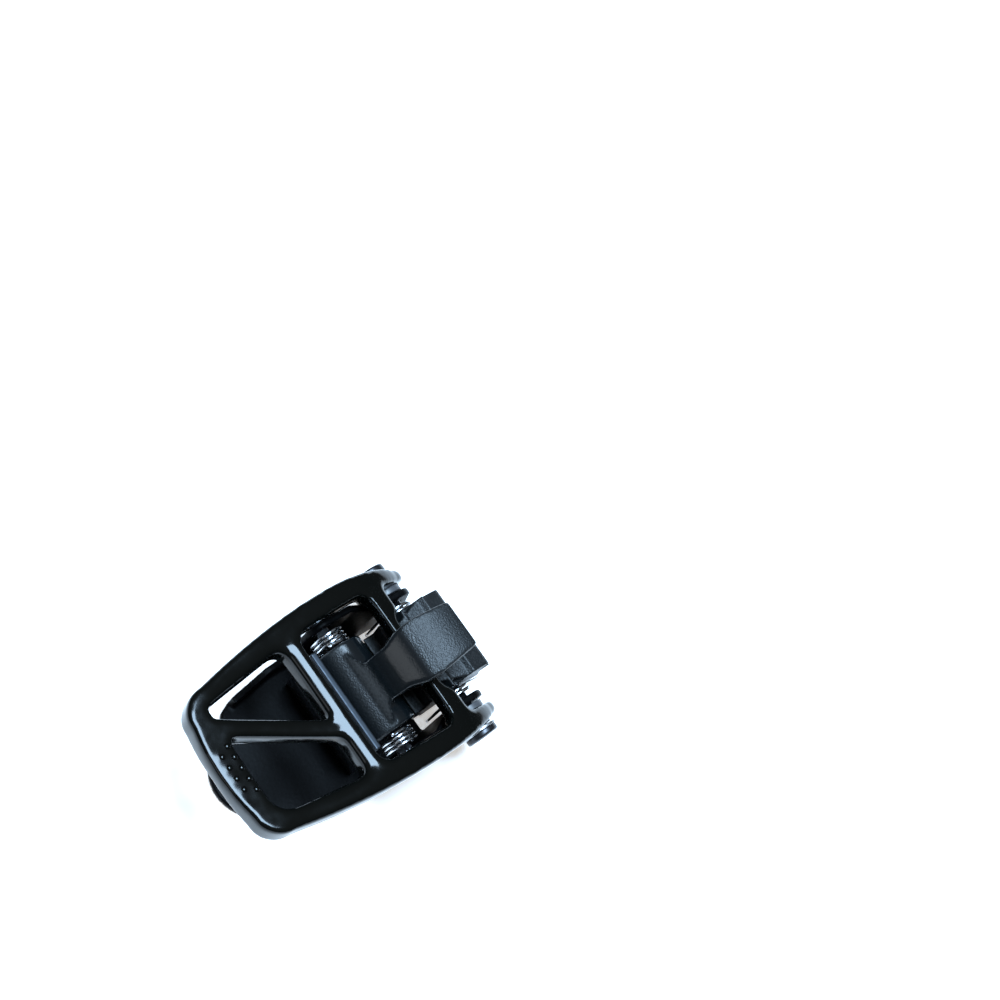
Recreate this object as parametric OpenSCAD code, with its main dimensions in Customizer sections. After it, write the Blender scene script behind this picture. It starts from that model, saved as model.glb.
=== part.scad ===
// Ratchet strap buckle: a pressed channel base, a toothed drum turned by a cast lever,
// and a sprung locking pawl with its own release lever.
// Millimetres. Origin: centre of the strap hole on the underside of the base.
// +X runs from the main pin towards the strap end, +Y along the pins, +Z up.

/* [Base] */
// Distance from the main pin to the strap hole
pin_to_hole = 41.2; // [34:0.1:46]
// Height of the main pin over the underside
pin_height = 11.5; // [10.5:0.1:14]
// Half the outside width of the channel at the main pin
ear_half = 12.6; // [11.5:0.1:13.2]
// Half the outside width of the channel at its middle
flare_half = 14.8; // [13:0.1:15]
// Thickness of the pressed plate
plate = 1.4; // [1:0.1:2]
// Radius of the ears around the main pin
ear_r = 4.5; // [4:0.1:5]
// Radius of the ears around the pawl pin
rear_ear_r = 3.6; // [3:0.1:4.2]
// Height of the low side rims over the underside
rim_height = 3.6; // [2:0.1:5]
// Radius of the round strap tongue
tongue_r = 8.5; // [6:0.1:10]
// Radius of the strap hole
strap_hole_r = 2.25; // [1.8:0.05:3]

/* [Lever] */
// Half the outside width of the lever where it is widest
lever_half = 18.3; // [17.8:0.1:22]
// Height of the lever's flat top over the main pin
lever_top = 13.2; // [12:0.1:15]
// Distance from the main pin to the lever's tip
lever_tip = 53.4; // [52:0.1:62]
// Depth of the bars around the lever's windows
bar_depth = 5; // [4:0.1:6]
// Radius of the lever's eyes around the main pin
eye_r = 5; // [4.4:0.1:5.6]
// Width of the bar between the two windows and the release lever
front_bar = 3.2; // [2.5:0.1:4]
// Width of the bar under the release paddle
rear_bar = 4.3; // [3.5:0.1:5]
// Width of the slanting brace
brace_width = 3; // [2:0.1:4]

/* [Pins] */
// Radius of the main pin
pin_r = 2; // [1.5:0.05:2.5]
// Radius of the main pin's head
head_r = 3.3; // [2.8:0.1:4]
// Thickness of the main pin's head
head_t = 1.8; // [1.2:0.1:2.4]
// Radius of the pawl pin
pawl_pin_r = 1.5; // [1.2:0.05:2]
// Running clearance of every pivot, measured on the radius
run_gap = 0.05; // [0.01:0.01:0.1]

/* [Drum] */
// Radius over the drum's teeth
drum_r = 9.3; // [8.6:0.1:9.6]
// Depth of the drum's teeth
tooth_depth = 2.3; // [1.5:0.1:2.6]
// Number of teeth in a full turn
teeth = 11; // [9:1:13]
// Half the width of the toothed drum
drum_half = 8.6; // [8:0.1:9.3]

/* [Release] */
// Distance between the main pin and the pawl pin
pawl_reach = 16.9; // [16:0.1:18]
// Height of the pawl pin over the main pin
pawl_rise = 2.7; // [2:0.1:3.5]
// Radius of the release lever's barrel
barrel_r = 5.2; // [4.8:0.1:5.6]
// Half the width of the release lever's barrel
barrel_half = 9.2; // [8:0.1:9.4]
// Thickness of the release paddle
paddle_t = 2.8; // [2:0.1:3.2]
// Half the width of the release paddle at its tip
paddle_half = 4.6; // [4:0.1:6]

/* [Springs] */
// Radius of the spring wire
wire_r = 0.35; // [0.25:0.05:0.45]
// Mean radius of the lever springs
lever_coil_r = 3.3; // [3:0.1:3.6]
// Mean radius of the pawl springs
pawl_coil_r = 3.2; // [2.8:0.1:3.4]

/* [Hidden] */
$fn = 48;

over = 0.5;                              // overshoot of every cut
floor_z = plate - pin_height;            // top of the floor, from the main pin
ear_in = ear_half - plate;               // inside of the ears at the main pin
flare_in = flare_half - plate;           // inside of the ears at the pawl pin
side_gap = 0.3;                          // gap between parts that pass each other
arm_in = ear_half + 1.6;                 // inside of the lever's eyes
arm_out = lever_half - 0.9;              // outside of the lever's eyes
head_in = arm_out + 0.2;                 // inside of the main pin's heads
tooth_pitch = 360 / teeth;

// ---------- shared shapes ----------

// Moves drawings made around the main pin into the buckle's own frame.
module at_pin() {
  translate([-pin_to_hole, 0, pin_height])
    children();
}

// A bar along Y between two distances from the middle plane.
module along_y(y0, y1) {
  translate([0, y1, 0])
    rotate([90, 0, 0])
      linear_extrude(y1 - y0)
        children();
}

// A round bar along Y.
module rod(r, y0, y1, x = 0, z = 0) {
  translate([x, y0, z])
    rotate([-90, 0, 0])
      cylinder(r = r, h = y1 - y0);
}

// Both sides of the buckle: the drawn +Y one and its mirror image.
module both_sides() {
  children();
  mirror([0, 1, 0])
    children();
}

// The points of a flat arc, from one angle to another.
function arc(cx, cy, r, a0, a1, n) =
  [for (i = [0 : n]) [cx + r * cos(a0 + (a1 - a0) * i / n), cy + r * sin(a0 + (a1 - a0) * i / n)]];

// A polygon's corners, each replaced by a short arc of radius r.
function unit(v) = v / norm(v);
function corner(p, q, s, r, n) =
  let (u = unit(p - q), w = unit(s - q), half = acos(u * w) / 2,
       c = q + unit(u + w) * r / sin(half), t0 = q + u * r / tan(half), t1 = q + w * r / tan(half),
       b0 = atan2(t0[1] - c[1], t0[0] - c[0]), turn = atan2(t1[1] - c[1], t1[0] - c[0]) - b0,
       sweep = turn > 180 ? turn - 360 : turn < -180 ? turn + 360 : turn)
  [for (i = [0 : n]) c + r * [cos(b0 + sweep * i / n), sin(b0 + sweep * i / n)]];
function rounded(pts, r, n = 5) =
  [for (i = [0 : len(pts) - 1])
    each corner(pts[(i + len(pts) - 1) % len(pts)], pts[i], pts[(i + 1) % len(pts)], r, n)];

// ---------- base ----------

ear_back = -7;                           // pivot end of the ears
floor_start = 4.2;                       // pivot end of the floor, in front of the pin
joggle_x = [5.5, 10.5];                  // where the ears step outwards
flare_end = 25;                          // where the sides start to draw in
shoulder_x = 34;                         // where the sides meet the tongue
shoulder_half = 13.3;
hole_margin = 4.6;                       // from the strap hole's centre to the tongue's end
rear_end = 21;                           // strap end of the tall ears

// Outline of one side wall's outer face, moved inwards by an amount.
function side_y(x, inset) =
  x < joggle_x[0] ? ear_half - inset
  : x < joggle_x[1] ? ear_half - inset
      + (flare_half - ear_half) * (x - joggle_x[0]) / (joggle_x[1] - joggle_x[0])
  : x < flare_end ? flare_half - inset
  : flare_half - inset - (flare_half - shoulder_half) * (x - flare_end) / (shoulder_x - flare_end);

side_stations = [ear_back, joggle_x[0], joggle_x[1], flare_end, shoulder_x];
floor_stations = [floor_start, joggle_x[0], joggle_x[1], flare_end, shoulder_x];

module floor_plan() {
  upper = [for (x = floor_stations) [x, side_y(x, 0)]];
  tongue = arc(pin_to_hole + hole_margin - tongue_r, 0, tongue_r, 75, -75, 24);
  lower = [for (i = [len(floor_stations) - 1 : -1 : 0])
    [floor_stations[i], -side_y(floor_stations[i], 0)]];
  polygon(concat(upper, [[shoulder_x + 2.4, shoulder_half - 1.1]], tongue,
                 [[shoulder_x + 2.4, 1.1 - shoulder_half]], lower));
}

module wall_plan() {
  outer = [for (x = side_stations) [x, side_y(x, 0)]];
  inner = [for (i = [len(side_stations) - 1 : -1 : 0])
    [side_stations[i], side_y(side_stations[i], plate)]];
  polygon(concat(outer, inner));
}

// Height of a side wall along the buckle: round over both pins, low towards the strap.
module wall_side() {
  corner_r = 5;
  hollow_r = 5;
  rim_z = rim_height - pin_height;
  polygon(concat(
    arc(ear_back + corner_r, corner_r - pin_height, corner_r, 270, 180, 10),
    arc(0, 0, ear_r, 170, 86, 10),
    arc(pawl_reach, pawl_rise, rear_ear_r, 98, 10, 10),
    arc(rear_end + hollow_r, rim_z + hollow_r, hollow_r, 190, 270, 8),
    [[shoulder_x, rim_z], [shoulder_x, -pin_height]]));
}

module base_channel() {
  color([0.07, 0.07, 0.08])
    at_pin()
      difference() {
        union() {
          translate([0, 0, -pin_height])
            linear_extrude(plate)
              floor_plan();
          intersection() {
            along_y(-flare_half - over, flare_half + over)
              wall_side();
            translate([0, 0, -pin_height])
              linear_extrude(2 * pin_height)
                both_sides()
                  wall_plan();
          }
        }
        rod(pin_r, -flare_half - over, flare_half + over);
        rod(pawl_pin_r, -flare_half - over, flare_half + over, pawl_reach, pawl_rise);
        translate([pin_to_hole, 0, -pin_height - over])
          cylinder(r = strap_hole_r, h = plate + 2 * over);
      }
}

// ---------- main pin ----------

washer_t = 0.5;
washer_r = head_r + 0.3;
pin_end = head_in + head_t;
rivet_r = 0.8 * pin_r;

module main_pin() {
  color([0.09, 0.09, 0.1])
    at_pin()
      union() {
        rod(pin_r, -head_in, head_in + washer_t);
        rod(rivet_r, head_in, pin_end - 0.4);
        rod(head_r, -pin_end, -head_in);
      }
}

module pin_washer() {
  color([0.35, 0.35, 0.37])
    at_pin()
      difference() {
        rod(washer_r, head_in, head_in + washer_t);
        rod(pin_r, head_in - over, head_in + washer_t + over);
      }
}

module pin_cap() {
  color([0.09, 0.09, 0.1])
    at_pin()
      difference() {
        rod(head_r, head_in + washer_t, pin_end);
        rod(rivet_r, head_in, pin_end - 0.4);
      }
}

// ---------- lever ----------

arch_x = 24;                             // where the arch runs into the flat top
arch_a = 29.6;                           // half length of the arch
arch_b = 16.2;                           // height of the arch
arch_steps = 22;
wide_at = 13;                            // where the lever is widest
taper = 0.0035;                          // draws the sides in towards the tip
round_in = 0.0066;                       // draws the sides in towards the eyes
tip_bow = 1.3;                           // bow of the tip edge
tip_corner = 5;
front_bar_x = 26.9;                      // pivot side of the front bar
rear_bar_x = 4.6;                        // pivot side of the rear bar
window_x = front_bar_x + front_bar;      // start of the two tip windows
arm_back = -5.2;                         // pivot end of the arch
bushing_r = 2.9;
bushing_flange_r = 3.6;

function top_z(x) =
  x < arch_x ? lever_top - arch_b + arch_b * sqrt(1 - pow((arch_x - x) / arch_a, 2)) : lever_top;
function outer_y(x) =
  lever_half - (x > wide_at ? taper : round_in) * pow(x - wide_at, 2);
function arch_top(drop, x0, x1) =
  [for (i = [0 : arch_steps]) let (x = x0 + (x1 - x0) * i / arch_steps) [x, top_z(x) - drop]];

// The arms seen from the side: round eyes, a hollow lower edge and a small spur.
module arm_side() {
  tip_r = bar_depth / 2;
  circle(r = eye_r);
  polygon(concat(
    arch_top(0, arm_back, arch_x),
    arc(lever_tip - tip_r, lever_top - tip_r, tip_r, 90, 0, 6),
    arc(lever_tip - tip_r, lever_top - tip_r, tip_r, 0, -90, 6),
    [[28.9, lever_top - bar_depth], [27.8, lever_top - 4],
     [24, lever_top - 3.2], [19, lever_top - 3], [14.5, lever_top - 3.4], [10, lever_top - 5.2],
     [6.8, lever_top - 8.3], [eye_r, 0], [0, -1], [arm_back + 0.6, -2]]));
}

// The bars seen from the side: the same arch, with a level underside.
module bar_side(depth) {
  polygon(concat(
    arch_top(0, rear_bar_x - 1, arch_x),
    [[lever_tip, lever_top], [lever_tip, lever_top - depth], [arch_x, lever_top - depth]],
    [for (i = [arch_steps : -1 : 0])
      let (x = rear_bar_x - 1 + (arch_x - rear_bar_x + 1) * i / arch_steps)
      [x, top_z(x) - min(depth, 3.2 + 0.1 * max(0, x - rear_bar_x))]]));
}

// Outside of the lever from above.
module lever_outline() {
  steps = 26;
  x_end = lever_tip - tip_bow - tip_corner;
  side = [for (i = [0 : steps]) let (x = -6 + (x_end + 6) * i / steps) [x, outer_y(x)]];
  y_end = outer_y(x_end);
  tip_y = y_end - tip_corner - 0.6;
  tip_half = concat(
    arc(x_end - 0.3, tip_y, tip_corner + 0.7, 72, 18, 7),
    [for (i = [0 : 5]) let (y = tip_y * (1 - i / 5)) [lever_tip - tip_bow * pow(y / tip_y, 2) * 0.8, y]]);
  upper = concat(side, tip_half);
  polygon(concat(upper, [for (i = [len(upper) - 2 : -1 : 0]) [upper[i][0], -upper[i][1]]]));
}

// The two tip windows, on either side of the slanting brace.
brace_in = [window_x, 4];                // middle of the brace at the front bar
brace_out = [48.8, -7];                  // middle of the brace at the tip bar
function brace_y(x, side) =
  brace_in[1] + (brace_out[1] - brace_in[1]) * (x - brace_in[0]) / (brace_out[0] - brace_in[0])
  + side * brace_width / 2 * norm(brace_out - brace_in) / (brace_out[0] - brace_in[0]);
function inner_y(x) = 13.7 - 0.19 * (x - window_x);
function left_inner_y(x) = 13.3 - 0.13 * (x - window_x);
tip_bar_x = 48.3;                        // window side of the tip bar

module left_window() {
  side = [[window_x, -left_inner_y(window_x)], [tip_bar_x, -left_inner_y(tip_bar_x)],
          [tip_bar_x, brace_y(tip_bar_x, -1)], [window_x, brace_y(window_x, -1)]];
  polygon(concat(
    corner(side[3], side[0], side[1], 2.2, 6),
    corner(side[0], side[1], side[2], 1, 4),
    corner(side[1], side[2], side[3], 0.3, 3),
    corner(side[2], side[3], side[0], 0.45, 3)));
}

module right_window() {
  side = [[window_x, brace_y(window_x, 1)], [window_x, inner_y(window_x)]];
  polygon(concat(
    corner(side[0], side[1], [tip_bar_x, inner_y(tip_bar_x)], 1.6, 5),
    corner(side[1], [tip_bar_x, inner_y(tip_bar_x) + 0.6], [tip_bar_x, 0], 4, 7),
    corner([tip_bar_x, 0], [tip_bar_x, brace_y(tip_bar_x, 1)], side[0], 1, 4),
    corner([tip_bar_x, brace_y(tip_bar_x, 1)], side[0], side[1], 1, 4)));
}

module rear_window() {
  x0 = rear_bar_x + rear_bar;
  polygon(rounded([[x0, -14.4], [x0, 14.4], [front_bar_x, 13.8], [front_bar_x, -13.8]], 2.6, 6));
}

module yoke_gap() {
  notch_half = drum_half + 0.4;
  notch_x = 1.9;
  corner_r = 1.5;
  polygon(concat(
    [[-8, -arm_in]],
    corner([-8, -arm_in], [rear_bar_x, -arm_in], [rear_bar_x, 0], corner_r, 5),
    [[rear_bar_x, -notch_half], [rear_bar_x + notch_x, -notch_half + notch_x],
     [rear_bar_x + notch_x, notch_half - notch_x], [rear_bar_x, notch_half]],
    corner([rear_bar_x, 0], [rear_bar_x, arm_in], [-8, arm_in], corner_r, 5),
    [[-8, arm_in]]));
}

// Low round grip dots in two staggered rows along the tip bar.
module grip_dots() {
  dot_r = 0.42;
  dot_h = 0.3;
  dot_gap = 2.15;
  dot_rows = [[1, -3.4, 5], [2.8, -2.3, 4]];   // distance from the windows, first dot, number
  for (row = dot_rows, i = [0 : row[2] - 1])
    translate([tip_bar_x + row[0], row[1] + dot_gap * i, lever_top - dot_h])
      cylinder(r = dot_r, h = 2 * dot_h, $fn = 12);
}

module lever_frame() {
  color([0.02, 0.02, 0.025])
    at_pin()
      difference() {
        union() {
          intersection() {
            along_y(-lever_half - over, lever_half + over)
              arm_side();
            translate([0, 0, -eye_r - over])
              linear_extrude(lever_top + eye_r + 2 * over)
                difference() {
                  lever_outline();
                  translate([-8, -arm_in])
                    square([rear_bar_x + 8, 2 * arm_in]);
                  rear_window();
                  left_window();
                  right_window();
                  translate([rear_bar_x - over, -15])
                    square([rear_bar + 2 * over, 30]);
                  translate([front_bar_x - 1, -13])
                    square([tip_bar_x - front_bar_x + 1, 26]);
                }
          }
          intersection() {
            along_y(-15.6, 15.6)
              bar_side(bar_depth);
            linear_extrude(lever_top + over)
                difference() {
                  intersection() {
                    lever_outline();
                    translate([0, -15.6])
                      square([tip_bar_x + 1, 31.2]);
                  }
                  yoke_gap();
                  rear_window();
                  left_window();
                  right_window();
                }
          }
          grip_dots();
        }
        both_sides() {
          rod(bushing_r, arm_in - over, lever_half + over);
          rod(washer_r + side_gap, arm_out, lever_half + over);
        }
      }
}

// A flanged bush in the lever's eye, running on the main pin.
module bushing() {
  difference() {
    union() {
      rod(bushing_r, arm_in, arm_out);
      rod(bushing_flange_r, arm_in - 1.3, arm_in);
    }
    rod(pin_r + run_gap, ear_half, arm_out + over);
  }
}

module lever_bushing_right() {
  color([0.3, 0.3, 0.32])
    at_pin()
      bushing();
}

module lever_bushing_left() {
  color([0.3, 0.3, 0.32])
    at_pin()
      mirror([0, 1, 0])
        bushing();
}

// ---------- toothed drum ----------

first_tip = 75;                          // first tooth edge, from straight up towards the back
undercut = 2.5;                          // angle of the steep tooth face
function on_drum(r, a) = [-r * sin(a), r * cos(a)];

module drum_teeth() {
  polygon([for (k = [0 : teeth - 1]) each [
    on_drum(drum_r - tooth_depth, first_tip + tooth_pitch * (k - 1) + undercut),
    on_drum(drum_r, first_tip + tooth_pitch * k - 1.5),
    on_drum(drum_r, first_tip + tooth_pitch * k)]]);
}

// The plate that keys the drum into the lever's notch.
module drum_key() {
  wing_top = [[-5.7, 7.3], [-1, 8.5], [rear_bar_x, 8.2], [rear_bar_x + 1.75, 8.2]];
  wing_low = [[rear_bar_x + 1.75, 6.9], [rear_bar_x - 1, 6.4], [0, 4], [-5, 5]];
  intersection() {
    along_y(-drum_half - over, drum_half + over)
      polygon(concat(wing_top, wing_low));
    linear_extrude(drum_r)
      polygon([
        [-6, -drum_half], [-0.5, -drum_half], [rear_bar_x + 1.75, -drum_half + 2.2],
        [rear_bar_x + 1.75, drum_half - 2.2], [-0.5, drum_half], [-6, drum_half]]);
  }
}

module drive_drum() {
  color([0.1, 0.1, 0.11])
    at_pin()
      difference() {
        union() {
          along_y(-drum_half, drum_half)
            drum_teeth();
          drum_key();
        }
        rod(pin_r + run_gap, -drum_half - over, drum_half + over);
      }
}

// ---------- springs ----------

coil_step = 1.9 * wire_r;

module coil(r, turns) {
  for (i = [0 : turns - 1])
    translate([0, i * coil_step, 0])
      rotate([-90, 0, 0])
        rotate_extrude()
          translate([r, 0])
            circle(r = wire_r, $fn = 16);
}

// A straight length of wire from a point, leaning at an angle from +X towards +Z.
module leg(x, y, z, angle, length) {
  translate([x, y, z])
    rotate([0, 90 - angle, 0])
      cylinder(r = wire_r, h = length, $fn = 16);
}

module lever_spring() {
  turns = 2;
  y0 = drum_half + wire_r + 0.25;
  translate([0, y0, 0])
    coil(lever_coil_r, turns);
  leg(lever_coil_r, y0 + coil_step, 0.3, -94, 9.2);
  leg(-0.8, y0, lever_coil_r - 0.1, 38, 6.4);
}

module lever_spring_right() {
  color([0.75, 0.76, 0.78])
    at_pin()
      lever_spring();
}

module lever_spring_left() {
  color([0.75, 0.76, 0.78])
    at_pin()
      mirror([0, 1, 0])
        lever_spring();
}

module pawl_spring() {
  turns = 4;
  y0 = barrel_half + wire_r + 0.25;
  translate([pawl_reach, y0, pawl_rise])
    coil(pawl_coil_r, turns);
  leg(pawl_reach - pawl_coil_r, y0 + (turns - 1) * coil_step, pawl_rise + 0.3, -100, 11);
  leg(pawl_reach, y0, pawl_rise + pawl_coil_r, -4, blade_x - pawl_reach - 0.1);
}

module pawl_spring_right() {
  color([0.75, 0.76, 0.78])
    at_pin()
      pawl_spring();
}

module pawl_spring_left() {
  color([0.75, 0.76, 0.78])
    at_pin()
      mirror([0, 1, 0])
        pawl_spring();
}

// ---------- pawl pin ----------

pawl_head_r = pawl_pin_r + 0.9;
pawl_head_t = 0.7;

module pawl_pin() {
  color([0.5, 0.5, 0.52])
    at_pin()
      union() {
        rod(pawl_pin_r, -flare_half, flare_half + 0.9, pawl_reach, pawl_rise);
        rod(pawl_head_r, -flare_half - pawl_head_t, -flare_half, pawl_reach, pawl_rise);
      }
}

module pawl_pin_ring() {
  ring_t = 0.5;
  color([0.5, 0.5, 0.52])
    at_pin()
      difference() {
        rod(pawl_head_r, flare_half, flare_half + ring_t, pawl_reach, pawl_rise);
        rod(pawl_pin_r, flare_half - over, flare_half + ring_t + over, pawl_reach, pawl_rise);
      }
}

// ---------- release lever and pawl ----------

paddle_x = 3.7;                          // middle of the paddle's bend
paddle_z = 3.1;
paddle_r = 15.6;                         // outside of the paddle's bend
blade_x = 22;                            // pivot side of the pawl blade
blade_t = 1.3;
blade_top = 6.2;
blade_half = 10.4;
blade_tip_z = floor_z + side_gap;

module paddle_side() {
  first = 4;
  last = 102;
  steps = 20;
  polygon(concat(
    arc(paddle_x, paddle_z, paddle_r, first, last, steps),
    arc(paddle_x, paddle_z, paddle_r - paddle_t, last, first, steps)));
}

// The paddle from above: a thumb pad on a narrower neck that spreads into the barrel.
module paddle_plan() {
  tip_x = -0.4;
  pad_x = 9;
  pad_half = paddle_half + 1;
  neck_x = 14.6;
  neck_half = paddle_half - 0.4;
  foot_x = 18.4;
  foot_half = paddle_half + 3;
  far_x = paddle_x + paddle_r + 1;
  shift = 0.7;                           // the pad stands slightly towards +Y
  translate([0, shift])
    polygon(concat(
      [[pad_x, pad_half]],
      corner([pad_x, pad_half], [tip_x, paddle_half], [tip_x, -paddle_half], 1.8, 5),
      corner([tip_x, paddle_half], [tip_x, -paddle_half], [pad_x, -pad_half], 1.8, 5),
      [[pad_x, -pad_half], [12, -pad_half + 0.2], [neck_x, -neck_half], [foot_x - 1, -neck_half],
       [foot_x, -foot_half], [far_x, -foot_half], [far_x, foot_half], [foot_x, foot_half],
       [foot_x - 1, neck_half], [neck_x, neck_half], [12, pad_half - 0.2]]));
}

module release_lever() {
  color([0.12, 0.13, 0.14])
    at_pin()
      difference() {
        union() {
          rod(barrel_r, -barrel_half, barrel_half, pawl_reach, pawl_rise);
          intersection() {
            along_y(-barrel_half, barrel_half)
              paddle_side();
            linear_extrude(paddle_z + paddle_r + over)
              paddle_plan();
          }
          // jaw that grips the pawl blade
          along_y(-barrel_half, barrel_half)
            polygon([[pawl_reach, -1.9], [pawl_reach + 3, -3.6], [blade_x + blade_t + 1, -3.6],
                     [blade_x + blade_t + 1, 1.6], [blade_x + blade_t, 2.6], [pawl_reach, 3.4]]);
        }
        rod(pawl_pin_r + run_gap, -barrel_half - over, barrel_half + over, pawl_reach, pawl_rise);
        pawl_blade();
      }
}

module blade_side() {
  polygon([
    [blade_x, blade_top - 0.15], [blade_x + 0.15, blade_top], [blade_x + blade_t - 0.15, blade_top],
    [blade_x + blade_t, blade_top - 0.15], [blade_x + blade_t, blade_tip_z + 3],
    [blade_x + 0.5, blade_tip_z], [blade_x, blade_tip_z]]);
}

// The blade, with two windows that the moulding fills.
module pawl_blade() {
  window_half = 1.5;
  window_y = 5;
  difference() {
    along_y(-blade_half, blade_half)
      blade_side();
    both_sides()
      translate([blade_x - over, window_y - window_half, -2.4])
        cube([blade_t + 2 * over, 2 * window_half, 2.2]);
  }
}

module locking_pawl() {
  color([0.45, 0.46, 0.48])
    at_pin()
      pawl_blade();
}

// ---------- put together ----------

base_channel();
main_pin();
pin_washer();
pin_cap();
lever_frame();
lever_bushing_left();
lever_bushing_right();
drive_drum();
lever_spring_left();
lever_spring_right();
pawl_pin();
pawl_pin_ring();
release_lever();
locking_pawl();
pawl_spring_left();
pawl_spring_right();
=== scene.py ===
import math
import bmesh
import bpy
import numpy as np
from mathutils import Matrix, Vector


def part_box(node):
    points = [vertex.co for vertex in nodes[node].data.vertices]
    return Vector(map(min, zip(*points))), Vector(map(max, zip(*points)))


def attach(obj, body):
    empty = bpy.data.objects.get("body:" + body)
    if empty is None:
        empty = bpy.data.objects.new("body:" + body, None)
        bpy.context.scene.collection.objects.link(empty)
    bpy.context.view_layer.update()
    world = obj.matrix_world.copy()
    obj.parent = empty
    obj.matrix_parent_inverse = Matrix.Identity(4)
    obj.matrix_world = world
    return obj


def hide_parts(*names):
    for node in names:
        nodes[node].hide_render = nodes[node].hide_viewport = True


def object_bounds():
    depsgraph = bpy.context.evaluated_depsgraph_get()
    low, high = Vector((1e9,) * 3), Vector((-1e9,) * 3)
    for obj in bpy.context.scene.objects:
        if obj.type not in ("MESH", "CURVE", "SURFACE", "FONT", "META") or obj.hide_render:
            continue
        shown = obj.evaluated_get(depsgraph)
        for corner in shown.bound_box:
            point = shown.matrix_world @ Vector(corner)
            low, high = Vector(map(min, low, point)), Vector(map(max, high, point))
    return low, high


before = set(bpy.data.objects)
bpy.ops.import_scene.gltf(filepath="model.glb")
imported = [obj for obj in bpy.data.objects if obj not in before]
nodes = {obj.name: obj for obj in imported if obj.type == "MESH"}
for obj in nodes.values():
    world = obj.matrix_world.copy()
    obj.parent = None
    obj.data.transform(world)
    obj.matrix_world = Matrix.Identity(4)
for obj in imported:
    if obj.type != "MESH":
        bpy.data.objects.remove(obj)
cad_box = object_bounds()

# ---------------------------------------------------------------- table and camera
# The buckle lies on a matt white sheet and is seen from high up on its strap side, turned
# so that the lever's tip points down to the left.
eye = Vector((0.1133, 0.0274, 0.2671))
aim = Vector((-0.0859, -0.0206, 0.0))
roll = math.radians(42.93)
camera_data = bpy.data.cameras.new("camera")
camera_data.sensor_width = 36.0
camera_data.lens = 56.3
camera = bpy.data.objects.new("camera", camera_data)
turn = (aim - eye).to_track_quat("-Z", "Y").to_matrix().to_4x4()
camera.matrix_world = Matrix.Translation(eye) @ turn @ Matrix.Rotation(roll, 4, "Z")
bpy.context.collection.objects.link(camera)
bpy.context.scene.camera = camera
bpy.context.scene.view_settings.view_transform = "Standard"


def new_piece(name, verts, faces):
    """Puts an array of points and a list of faces into a new smooth mesh object at the origin."""
    mesh = bpy.data.meshes.new(name)
    mesh.from_pydata(verts.tolist(), [], faces)
    mesh.update()
    mesh.shade_smooth()
    piece = bpy.data.objects.new(name, mesh)
    bpy.context.collection.objects.link(piece)
    return piece


def new_material(name, colour, roughness, metallic=0.0):
    """A material of one Principled shader, with its constants on the shader's own sockets."""
    material = bpy.data.materials.new(name)
    material.use_nodes = True
    shader = material.node_tree.nodes["Principled BSDF"]
    shader.inputs["Base Color"].default_value = (*colour, 1.0)
    shader.inputs["Roughness"].default_value = roughness
    shader.inputs["Metallic"].default_value = metallic
    return material, shader


sheet_half = 1.5
table_z = cad_box[0][2]
corners = np.array([[-1, -1], [1, -1], [1, 1], [-1, 1]]) * sheet_half
sheet = new_piece("white_sheet", np.column_stack([corners, np.full(4, table_z)]), [[0, 1, 2, 3]])
paper, paper_shader = new_material("matt_white_paper", (0.92, 0.92, 0.92), 0.95)
paper_shader.inputs["Specular IOR Level"].default_value = 0.1
paper_shader.inputs["Emission Color"].default_value = (1.0, 0.97, 0.93, 1.0)
paper_shader.inputs["Emission Strength"].default_value = 0.5
sheet.data.materials.append(paper)

# ---------------------------------------------------------------- lights
# One bright bluish soft box hangs overhead, and a weak one lights the lever's tip from the
# side. The room is dim, and a little lighter towards its ceiling.
def soft_box(name, where, width, height, watts, colour):
    """A rectangular light at a place, facing the buckle."""
    data = bpy.data.lights.new(name, "AREA")
    data.shape = "RECTANGLE"
    data.size = width
    data.size_y = height
    data.energy = watts
    data.color = colour
    light = bpy.data.objects.new(name, data)
    facing = Vector((-0.02, 0, 0.01)) - Vector(where)
    light.matrix_world = (Matrix.Translation(where)
        @ facing.to_track_quat("-Z", "Y").to_matrix().to_4x4())
    bpy.context.collection.objects.link(light)


soft_box("overhead_light", (-0.045, -0.06, 0.70), 0.27, 0.34, 13.0, (0.55, 0.77, 1.0))
soft_box("front_light", (0.50, -0.08, 0.46), 0.14, 0.30, 0.25, (0.88, 0.94, 1.0))


def add_node(owner, kind, **inputs):
    """A shader node of a material or world, with some of its inputs set."""
    made = owner.node_tree.nodes.new(kind)
    for key, value in inputs.items():
        made.inputs[key].default_value = value
    return made


def carried(owner, value, span_in, span_out):
    """A value carried in a straight line from one span to another, and held at the spans' ends."""
    span = add_node(owner, "ShaderNodeMapRange")
    sockets = ("From Min", "From Max", "To Min", "To Max")
    for socket, number in zip(sockets, (*span_in, *span_out)):
        span.inputs[socket].default_value = number
    owner.node_tree.links.new(value, span.inputs["Value"])
    return span.outputs[0]


world = bpy.data.worlds.new("dim_room")
world.use_nodes = True
room = world.node_tree.nodes["Background"]
room.inputs["Strength"].default_value = 1.0
sky = add_node(world, "ShaderNodeTexCoord")
upward = add_node(world, "ShaderNodeSeparateXYZ")
wall_to_ceiling = (0.25, 1.0)
grey_of_wall_and_ceiling = (0.08, 0.28)
world.node_tree.links.new(sky.outputs["Generated"], upward.inputs[0])
world.node_tree.links.new(carried(world, upward.outputs["Z"], wall_to_ceiling, grey_of_wall_and_ceiling),
                          room.inputs["Color"])
bpy.context.scene.world = world

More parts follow.
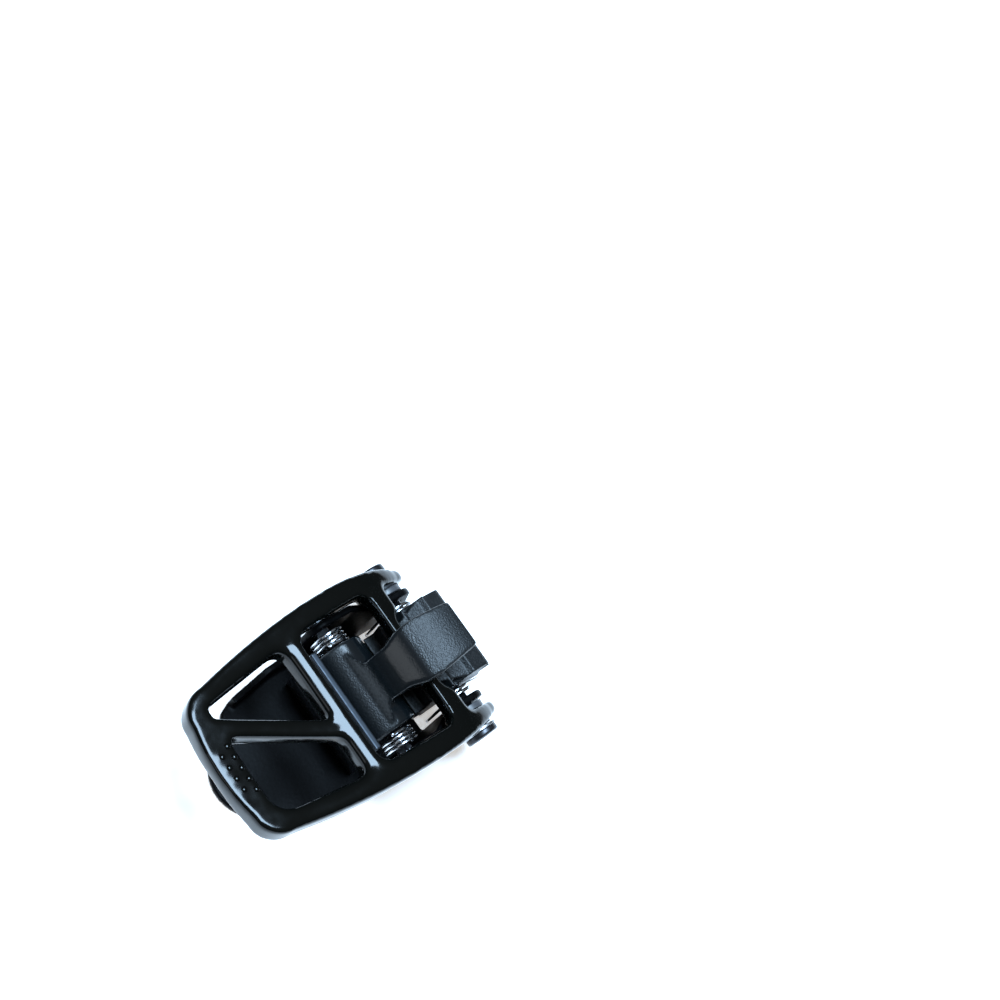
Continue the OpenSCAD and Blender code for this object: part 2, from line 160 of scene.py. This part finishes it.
# ---------------------------------------------------------------- base channel
# The base is pressed from 1.4 mm steel: two ears, low side rims and a round tongue with the
# strap hole. It is powder coated satin black, which rounds its sheared edges slightly.
def softened(node, name, cell, rounds, share=None, coat=0.0, dish=None):
    """A CAD solid remade in even cells of one size and then relaxed: in each round a point moves
    half of the way to the mean of its neighbours, times its share. This turns each edge into a
    fillet, whose radius grows with the root of the number of rounds. share gives each point's
    share from its place, and coat then moves the whole surface outwards. dish gives how far each
    point is lowered before that."""
    mesh = nodes[node].data.copy()
    joined = bmesh.new()
    joined.from_mesh(mesh)
    bmesh.ops.remove_doubles(joined, verts=joined.verts, dist=2e-6)
    joined.to_mesh(mesh)
    joined.free()
    rough = bpy.data.objects.new(name + "_rough", mesh)
    bpy.context.collection.objects.link(rough)
    remesh = rough.modifiers.new("cells", "REMESH")
    remesh.mode = "VOXEL"
    remesh.voxel_size = cell
    done = bpy.data.meshes.new_from_object(rough.evaluated_get(bpy.context.evaluated_depsgraph_get()))
    bpy.data.objects.remove(rough)
    place = np.empty(3 * len(done.vertices))
    done.vertices.foreach_get("co", place)
    place = place.reshape(-1, 3)
    if dish is not None:
        place[:, 2] -= dish(place)
    ends = np.empty(2 * len(done.edges), dtype=np.int64)
    done.edges.foreach_get("vertices", ends)
    ends = ends.reshape(-1, 2)
    near, far = np.concatenate([ends, ends[:, ::-1]]).T
    neighbours = np.bincount(near, minlength=len(place))[:, None]
    step = 0.5 if share is None else 0.5 * share(place)[:, None]
    for _ in range(rounds):
        total = np.stack([np.bincount(near, place[far, axis], len(place)) for axis in range(3)], -1)
        place = place + step * (total / neighbours - place)
    done.vertices.foreach_set("co", place.ravel())
    done.update()
    if coat:
        normal = np.empty(3 * len(place))
        done.vertices.foreach_get("normal", normal)
        done.vertices.foreach_set("co", place.ravel() + coat * normal)
        done.update()
    done.name = name
    done.materials.clear()
    done.shade_smooth()
    piece = bpy.data.objects.new(name, done)
    bpy.context.collection.objects.link(piece)
    return piece


def stands_for(piece, node, body, material):
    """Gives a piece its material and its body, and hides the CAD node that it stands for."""
    piece.data.materials.append(material)
    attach(piece, body)
    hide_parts(node)


def grain(material, shader, scale, height, detail=2.0):
    """Raises a fine grain on a surface: bumps of about 1/scale metres and the given height."""
    place = add_node(material, "ShaderNodeTexCoord")
    pattern = add_node(material, "ShaderNodeTexNoise", Scale=scale, Detail=detail)
    bump = add_node(material, "ShaderNodeBump", Strength=1.0, Distance=height)
    links = material.node_tree.links
    links.new(place.outputs["Object"], pattern.inputs["Vector"])
    links.new(pattern.outputs[0], bump.inputs["Height"])
    links.new(bump.outputs["Normal"], shader.inputs["Normal"])
    return bump


def mottle(material, shader, scale, low, high):
    """Lets the roughness wander between two values with a soft noise."""
    place = add_node(material, "ShaderNodeTexCoord")
    noise = add_node(material, "ShaderNodeTexNoise", Scale=scale, Detail=3.0)
    links = material.node_tree.links
    links.new(place.outputs["Object"], noise.inputs["Vector"])
    links.new(carried(material, noise.outputs[0], (0.3, 0.7), (low, high)), shader.inputs["Roughness"])


satin, satin_shader = new_material("satin_black_powder_coat", (0.0015, 0.0015, 0.0017), 0.42)
grain(satin, satin_shader, 1500, 0.00003)
satin_shader.inputs["Specular IOR Level"].default_value = 0.05
mottle(satin, satin_shader, 160, 0.36, 0.5)
channel = softened("base_channel", "base_channel_plate", 0.0003, 3)
stands_for(channel, "base_channel", "base", satin)

# ---------------------------------------------------------------- main pin, its cap and washer
# The main pin is a black plated rivet with a flat round head; its far end carries a plain
# washer and a pressed cap of the head's size. All are turned parts with broken edges.
def turned(name, profile, centre, steps=96):
    """A profile of (distance along Y, radius) points carried round an axis along Y. Its first
    and last radius are zero, so both ends close on a pole."""
    along, radius = np.array(profile).T
    angle = np.linspace(0, 2 * math.pi, steps, endpoint=False)
    ring = np.stack([centre[0] + radius[1:-1, None] * np.cos(angle),
                     np.repeat(along[1:-1, None], steps, 1),
                     centre[1] + radius[1:-1, None] * np.sin(angle)], -1)
    rings = len(along) - 2
    poles = np.array([[centre[0], along[0], centre[1]], [centre[0], along[-1], centre[1]]])
    verts = np.concatenate([ring.reshape(-1, 3), poles])
    i, j = np.meshgrid(np.arange(rings - 1), np.arange(steps), indexing="ij")
    k = (j + 1) % steps
    quads = np.stack([i * steps + j, (i + 1) * steps + j, (i + 1) * steps + k, i * steps + k], -1)
    j = np.arange(steps)
    k = (j + 1) % steps
    first = np.stack([np.full(steps, rings * steps), j, k], -1)
    last_ring = (rings - 1) * steps
    last = np.stack([np.full(steps, rings * steps + 1), last_ring + k, last_ring + j], -1)
    faces = quads.reshape(-1, 4).tolist() + first.tolist() + last.tolist()
    piece = new_piece(name, verts, faces)
    outward = bmesh.new()
    outward.from_mesh(piece.data)
    bmesh.ops.recalc_face_normals(outward, faces=outward.faces)
    outward.to_mesh(piece.data)
    outward.free()
    return piece


def disc_edge(y, r, break_r, way, steps=6):
    """A quarter round where a face meets a rim: points from the face out to the rim. way is +1
    where the face looks towards +Y and the profile comes inwards, -1 at the other end."""
    turn = np.linspace(0, math.pi / 2, steps)
    if way > 0:
        return [(y - break_r + break_r * math.sin(t), r - break_r + break_r * math.cos(t)) for t in turn]
    return [(y + break_r - break_r * math.cos(t), r - break_r + break_r * math.sin(t)) for t in turn]


def middle(node):
    """The middle of a node in X and Z, and its extent."""
    low, high = (np.array(v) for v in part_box(node))
    return (low + high)[[0, 2]] / 2, low, high


pin_axis, pin_low, pin_high = middle("main_pin")
pin_head_r = (pin_high[0] - pin_low[0]) / 2
pin_shank_r = 0.002
head_thick = 0.0018
head_break = 0.00045
head_in = pin_low[1] + head_thick
black_pin, black_pin_shader = new_material("black_plated_steel", (0.035, 0.036, 0.04), 0.34, 0.85)
mottle(black_pin, black_pin_shader, 500, 0.24, 0.42)
head_crown = 0.0001
inner_break = 0.0002
pin = turned("main_pin_rivet",
    [(pin_low[1], 0), (pin_low[1] + head_crown, 0.4 * pin_head_r)]
    + disc_edge(pin_low[1] + head_crown, pin_head_r, head_break, -1)
    + disc_edge(head_in, pin_head_r, inner_break, 1)
    + [(head_in, pin_shank_r), (pin_high[1], pin_shank_r), (pin_high[1], 0)], pin_axis)
stands_for(pin, "main_pin", "base", black_pin)

_, cap_low, cap_high = middle("pin_cap")
cap_face = cap_high[1] - 0.00008
cap_dimple = cap_high[1] - 0.0003
cap = turned("main_pin_cap",
    [(cap_low[1], 0), (cap_low[1], pin_shank_r)] + disc_edge(cap_low[1], pin_head_r, inner_break, -1)
    + disc_edge(cap_face, pin_head_r, head_break, 1)
    + [(cap_face, 0.55 * pin_head_r), (cap_dimple, 0.5 * pin_head_r), (cap_dimple, 0)], pin_axis)
stands_for(cap, "pin_cap", "base", black_pin)

steel, steel_shader = new_material("plain_steel", (0.46, 0.47, 0.49), 0.3, 1.0)
mottle(steel, steel_shader, 700, 0.2, 0.4)
ring_break = 0.00012
for node in ("pin_washer", "pawl_pin_ring"):
    axis, low, high = middle(node)
    rim = (high[0] - low[0]) / 2
    ring = turned(node + "_turned",
        [(low[1], 0), (low[1], pin_shank_r)] + disc_edge(low[1], rim, ring_break, -1)
        + disc_edge(high[1], rim, ring_break, 1) + [(high[1], pin_shank_r), (high[1], 0)], axis)
    stands_for(ring, node, "base", steel)

# ---------------------------------------------------------------- toothed drum
# The drum is moulded in black nylon with a fine spark-eroded grain. Its saw teeth draw the
# strap, and its flat key fills the notch of the lever's rear bar. The paddle is of the same
# nylon, and only its neck, where the mould was left polished, has no grain.
moulded, moulded_shader = new_material("grained_black_nylon", (0.003, 0.0042, 0.0050), 0.45)
moulded_shader.inputs["Specular IOR Level"].default_value = 0.36
nylon_bump = grain(moulded, moulded_shader, 3400, 0.0001, 1.0)
neck_mid = pin_axis[0] + 0.0143
neck_half = (0.0026, 0.0044)
place = add_node(moulded, "ShaderNodeTexCoord")
lengthwise = add_node(moulded, "ShaderNodeSeparateXYZ")
from_neck = add_node(moulded, "ShaderNodeMath")
from_neck.operation = "SUBTRACT"
from_neck.inputs[1].default_value = neck_mid
distance = add_node(moulded, "ShaderNodeMath")
distance.operation = "ABSOLUTE"
links = moulded.node_tree.links
links.new(place.outputs["Object"], lengthwise.inputs[0])
links.new(lengthwise.outputs["X"], from_neck.inputs[0])
links.new(from_neck.outputs[0], distance.inputs[0])
for socket, polished, spark_eroded in ((moulded_shader.inputs["Roughness"], 0.16, 0.46),
                                       (nylon_bump.inputs["Strength"], 0.15, 1.0)):
    links.new(carried(moulded, distance.outputs[0], neck_half, (polished, spark_eroded)), socket)
drum = softened("drive_drum", "toothed_drum", 0.0002, 3)
stands_for(drum, "drive_drum", "lever", moulded)

# ---------------------------------------------------------------- lever springs
# Two torsion springs of bright wire sit on the main pin, one on each side of the drum. A leg
# of each stands on the base and the other pushes on the rear bar.
def bent_wire(name, path, wire_r, sides=14):
    """A round wire along a path of points: a circle carried along it in a frame that is turned
    as little as possible from point to point, with both ends closed by a flat cap."""
    path = np.asarray(path)
    along = np.gradient(path, axis=0)
    along /= np.linalg.norm(along, axis=1)[:, None]
    side = np.cross(along[0], (0.3, 0.9, 0.1))
    sides_list = []
    for direction in along:
        side = side - direction * np.dot(side, direction)
        side /= np.linalg.norm(side)
        sides_list.append(side)
    side = np.array(sides_list)
    other = np.cross(along, side)
    angle = np.linspace(0, 2 * math.pi, sides, endpoint=False)
    tube = (path[:, None] + wire_r * (side[:, None] * np.cos(angle)[None, :, None]
        + other[:, None] * np.sin(angle)[None, :, None]))
    n = len(path)
    verts = np.concatenate([tube.reshape(-1, 3), path[[0, -1]]])
    i, j = np.meshgrid(np.arange(n - 1), np.arange(sides), indexing="ij")
    k = (j + 1) % sides
    quads = np.stack([i * sides + j, i * sides + k, (i + 1) * sides + k, (i + 1) * sides + j], -1)
    j = np.arange(sides)
    k = (j + 1) % sides
    start = np.stack([np.full(sides, n * sides), k, j], -1)
    end = np.stack([np.full(sides, n * sides + 1), (n - 1) * sides + j, (n - 1) * sides + k], -1)
    return new_piece(name, verts, quads.reshape(-1, 4).tolist() + start.tolist() + end.tolist())


def torsion_path(centre, coil_r, y_start, y_step, first, last, leg_in, leg_out, per_turn=40):
    """A torsion spring's wire: a helix round an axis along Y from a first to a last angle, which
    are counted in degrees from +X towards +Z, with a straight leg off each end along its tangent."""
    count = int(abs(last - first) / 360 * per_turn)
    angle = np.radians(np.linspace(first, last, count))
    way = math.copysign(1, last - first)
    y = y_start + y_step * (angle - angle[0]) / (2 * math.pi) * way
    coil = np.stack([centre[0] + coil_r * np.cos(angle), y, centre[1] + coil_r * np.sin(angle)], -1)
    tangent = np.stack([-np.sin(angle), 0 * angle, np.cos(angle)], -1) * way
    lead = np.linspace(leg_in, 0, 8, endpoint=False)[:, None]
    tail = np.linspace(0, leg_out, 9)[1:, None]
    return np.concatenate([coil[0] - tangent[0] * lead, coil, coil[-1] + tangent[-1] * tail])


wire_r = 0.0003
coil_r, coil_pitch = 0.0033, 0.00076
rear_leg, floor_leg = 0.0064, 0.0088
bright_wire, bright_shader = new_material("bright_spring_wire", (0.58, 0.60, 0.63), 0.2, 1.0)
mottle(bright_wire, bright_shader, 1400, 0.1, 0.24)
for node, hand in (("lever_spring_right", 1), ("lever_spring_left", -1)):
    _, low, high = middle(node)
    inner = (low[1] if hand > 0 else -high[1]) + wire_r
    path = torsion_path(pin_axis, coil_r, inner, coil_pitch, 128, -362, rear_leg, floor_leg)
    path[:, 1] *= hand
    stands_for(bent_wire(node + "_wire", path, wire_r), node, "base", bright_wire)

# ---------------------------------------------------------------- lever
# The lever is a zinc casting dipped in thick gloss black paint, which flows round every edge
# and leaves a faint orange peel. Two rows of low round grip dots lie along its tip bar.
gloss, gloss_shader = new_material("thick_gloss_black_paint", (0.0012, 0.0016, 0.0014), 0.1)
gloss_shader.inputs["Specular IOR Level"].default_value = 0.22
grain(gloss, gloss_shader, 420, 0.00002, 1.0)
mottle(gloss, gloss_shader, 260, 0.07, 0.16)


_, lever_low, lever_high = middle("lever_frame")
flat_top = lever_high[2] - 0.0003
paint = 0.00012
tip_round = 0.0025


def crowned(place):
    """How far each point of the lever is relaxed: fully on the front bar, the brace and the right
    rail beside them, less on the arms and the left rail, and least on the tip bar."""
    x = place[:, 0] - pin_axis[0]
    y = place[:, 1]
    from_arms = np.clip((x - 0.0235) / 0.002, 0, 1)
    from_tip = np.clip((0.0475 - x) / 0.003, 0, 1)
    from_left = np.clip((y + 0.0150) / 0.002, 0, 1)
    return 0.45 + 0.2 * from_tip + 0.35 * from_arms * from_tip * from_left


def ease(t):
    """A smooth step: 0 up to t = 0 and 1 from t = 1, as 3 t squared less 2 t cubed between them."""
    t = np.clip(t, 0, 1)
    return t * t * (3 - 2 * t)


def hollow(place):
    """How far each point of the lever's upper side is lowered: the front bar slopes down to the
    brace by half a millimetre, which rises again to the tip bar and out to the two rails. The
    tip's upper edge is raised from a quarter circle of six chords to a curve of the eighth power,
    which is fuller, and the grip dots are pressed flat, as domes take their place."""
    x = place[:, 0] - pin_axis[0]
    upper = np.clip((place[:, 2] - flat_top) / tip_round + 1, 0, 1)
    slope = (0.0006 * ease((x - 0.0262) / 0.0045) * ease((0.0475 - x) / 0.014)
        * ease((0.0150 - np.abs(place[:, 1])) / 0.003))
    out = np.clip((place[:, 0] - lever_high[0]) / tip_round + 1, 0, 0.995)
    turn = np.linspace(0, math.pi / 2, 7)
    fuller = (1 - out ** 8) ** 0.125 / np.interp(out, np.sin(turn), np.cos(turn)) - 1
    return slope * upper - tip_round * upper * fuller + np.clip(place[:, 2] - flat_top, 0, None)


lever = softened("lever_frame", "lever_casting", 0.00032, 32, crowned, paint, hollow)
stands_for(lever, "lever_frame", "lever", gloss)


def grip_domes(name, centres, top, radius, height, rings=5, steps=16):
    """Round domes on a flat: each is a circle of points whose height falls with the square of
    the cosine from the pole to the rim, and whose skirt goes a little way into the flat."""
    t = np.linspace(0, math.pi / 2, rings)
    r = np.append(radius * np.sin(t), radius)
    z = np.append(height * np.cos(t), -height)[1:]
    angle = np.linspace(0, 2 * math.pi, steps, endpoint=False)
    r = r[1:]
    ring = np.stack([r[:, None] * np.cos(angle), r[:, None] * np.sin(angle), z[:, None] + 0 * angle], -1)
    one = np.concatenate([[[0, 0, height]], ring.reshape(-1, 3)])
    verts = (np.array(centres)[:, None] + one + (0, 0, top)).reshape(-1, 3)
    j = np.arange(steps)
    k = (j + 1) % steps
    cap = [[0, 1 + a, 1 + b] for a, b in zip(j, k)]
    i, j = np.meshgrid(np.arange(rings - 1), np.arange(steps), indexing="ij")
    k = (j + 1) % steps
    upper, lower = 1 + i * steps, 1 + (i + 1) * steps
    quads = np.stack([upper + j, lower + j, lower + k, upper + k], -1)
    under = list(range(1 + (rings - 1) * steps + steps - 1, (rings - 1) * steps, -1))
    faces = []
    for n in range(len(centres)):
        shift = n * len(one)
        faces += [[v + shift for v in face] for face in cap + quads.reshape(-1, 4).tolist() + [under]]
    return new_piece(name, verts, faces)


tip_bar = lever_high[0] - 0.0051
dot_step = 0.00215
dots = ([(tip_bar + 0.001, -0.0034 + dot_step * i, 0) for i in range(5)]
        + [(tip_bar + 0.0028, -0.0023 + dot_step * i, 0) for i in range(4)])
dot_foot = flat_top + paint
domes = grip_domes("lever_grip_dots", dots, dot_foot, 0.00055, 0.0003)
domes.data.materials.append(gloss)
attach(domes, "lever")

# ---------------------------------------------------------------- lever bushings
# Plain flanged bushes pressed into the lever's eyes from the inside keep the painted arms off
# the ears.
bush, bush_shader = new_material("dark_acetal", (0.05, 0.05, 0.054), 0.42)
mottle(bush, bush_shader, 600, 0.34, 0.5)
for node in ("lever_bushing_left", "lever_bushing_right"):
    piece = softened(node, node + "_moulded", 0.00012, 2)
    stands_for(piece, node, "lever", bush)

# ---------------------------------------------------------------- pawl pin
# The second pin is a plain steel rivet through the ears, closed by a ring on its far side.
# It is a little thinner inside the barrel, which turns on it.
pawl_axis, pawl_low, pawl_high = middle("pawl_pin")
pawl_pin_r = 0.0015
pawl_head_r = (pawl_high[0] - pawl_low[0]) / 2
pawl_head_in = pawl_low[1] + 0.0007
pawl_shank_r = 0.00136
pawl_step = pawl_high[1] - 0.003
rivet = turned("pawl_pin_rivet",
    [(pawl_low[1], 0)] + disc_edge(pawl_low[1], pawl_head_r, 0.0003, -1)
    + [(pawl_head_in, pawl_head_r), (pawl_head_in, pawl_shank_r), (pawl_step, pawl_shank_r),
       (pawl_step, pawl_pin_r)]
    + disc_edge(pawl_high[1], pawl_pin_r, 0.0003, 1) + [(pawl_high[1], 0)], pawl_axis)
stands_for(rivet, "pawl_pin", "base", steel)

# ---------------------------------------------------------------- release lever and pawl
# The release lever is one nylon moulding: a barrel on the pawl pin, a jaw that grips the
# hardened steel pawl blade, and a curved paddle that a thumb presses.
release = softened("release_lever", "release_paddle", 0.00025, 10)
stands_for(release, "release_lever", "release", moulded)
blade_steel, blade_shader = new_material("dark_hardened_steel", (0.03, 0.034, 0.04), 0.46, 1.0)
mottle(blade_steel, blade_shader, 800, 0.36, 0.5)
blade = softened("locking_pawl", "pawl_blade", 0.00014, 2)
stands_for(blade, "locking_pawl", "release", blade_steel)

# ---------------------------------------------------------------- pawl springs
# A torsion spring of the same bright wire at each end of the barrel pushes the pawl down on
# the strap's teeth. Its long leg stands on the base and its short one points at the blade.
pawl_coil_r, pawl_coil_pitch = 0.0032, 0.0008
blade_leg, pawl_floor_leg = 0.0034, 0.0098
pawl_turns = 3
for node, hand in (("pawl_spring_right", 1), ("pawl_spring_left", -1)):
    _, low, high = middle(node)
    inner = (low[1] if hand > 0 else -high[1]) + wire_r
    path = torsion_path(pawl_axis, pawl_coil_r, inner, pawl_coil_pitch,
                        104, 186 + 360 * pawl_turns, blade_leg, pawl_floor_leg)
    path[:, 1] *= hand
    stands_for(bent_wire(node + "_wire", path, wire_r), node, "base", bright_wire)
